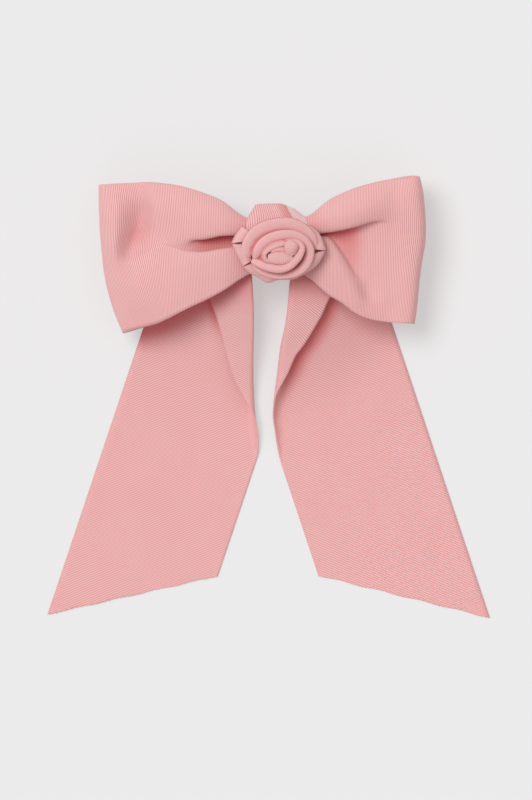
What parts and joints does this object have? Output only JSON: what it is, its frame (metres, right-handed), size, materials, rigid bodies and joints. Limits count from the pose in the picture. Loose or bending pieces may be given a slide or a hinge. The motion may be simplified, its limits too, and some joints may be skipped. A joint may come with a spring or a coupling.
{
  "type": "ribbon bow barrette",
  "caption": "Hair barrette: a gathered bow of wide ribbed ribbon with long tails and a rolled ribbon rosette, sewn to a hinged steel clip with a squeeze catch.",
  "frame": {"origin": "centre of the barrette's outline, on the surface that it lies on with the bow facing up", "axes": "+Z away from the wearer's head, +Y from the tails' cut ends towards the top of the bow, +X along the clip from its hinge to its catch"},
  "size_m": [0.1772, 0.1764, 0.0392],
  "materials": {
    "pink_ribbon": "dusty pink ribbed ribbon with a soft sheen",
    "pink_felt": "matt pink felt",
    "pink_thread": "twisted pink sewing thread",
    "nickel_steel": "bright nickel plate, lightly rubbed at the edges",
    "spring_steel": "satin tempered strip"
  },
  "bodies": {
    "clip": {"base_plate": "nickel_steel", "hinge_pin": "nickel_steel", "catch_bracket": "spring_steel", "catch_rivet": "nickel_steel", "lining_felt": "pink_felt", "stitch_left": "pink_thread", "stitch_right": "pink_thread", "gather_thread": "pink_thread", "knot_band": "pink_ribbon", "loop_left": "pink_ribbon", "loop_right": "pink_ribbon", "tail_left": "pink_ribbon", "tail_right": "pink_ribbon", "rosette_backing": "pink_felt", "rosette_outer_petals": "pink_ribbon", "rosette_coil": "pink_ribbon", "rosette_bud": "pink_ribbon"},
    "clasp": {"clasp_arm": "nickel_steel"},
    "tension": {"tension_spring": "spring_steel"},
    "prong_front": {"catch_prong_front": "spring_steel"},
    "prong_rear": {"catch_prong_rear": "spring_steel"}
  },
  "joints": [
    {"name": "clasp_hinge", "type": "hinge", "parent": "clip", "child": "clasp", "pos_m": [-0.031, 0.0615, 0.0029], "axis": [0, 1, 0], "range_deg": [0, 70]},
    {"name": "tension_flex", "type": "hinge", "parent": "clip", "child": "tension", "pos_m": [-0.031, 0.0615, 0.0029], "axis": [0, -1, 0], "range_deg": [0, 1.5], "stiffness_Nm_per_rad": 0.8},
    {"name": "front_prong_squeeze", "type": "hinge", "parent": "clip", "child": "prong_front", "pos_m": [0.037, 0.06015, 0.0078], "axis": [1, 0, 0], "range_deg": [0, 6], "stiffness_Nm_per_rad": 0.12},
    {"name": "rear_prong_squeeze", "type": "hinge", "parent": "clip", "child": "prong_rear", "pos_m": [0.037, 0.06285, 0.0078], "axis": [-1, 0, 0], "range_deg": [0, 6], "stiffness_Nm_per_rad": 0.12}
  ]
}
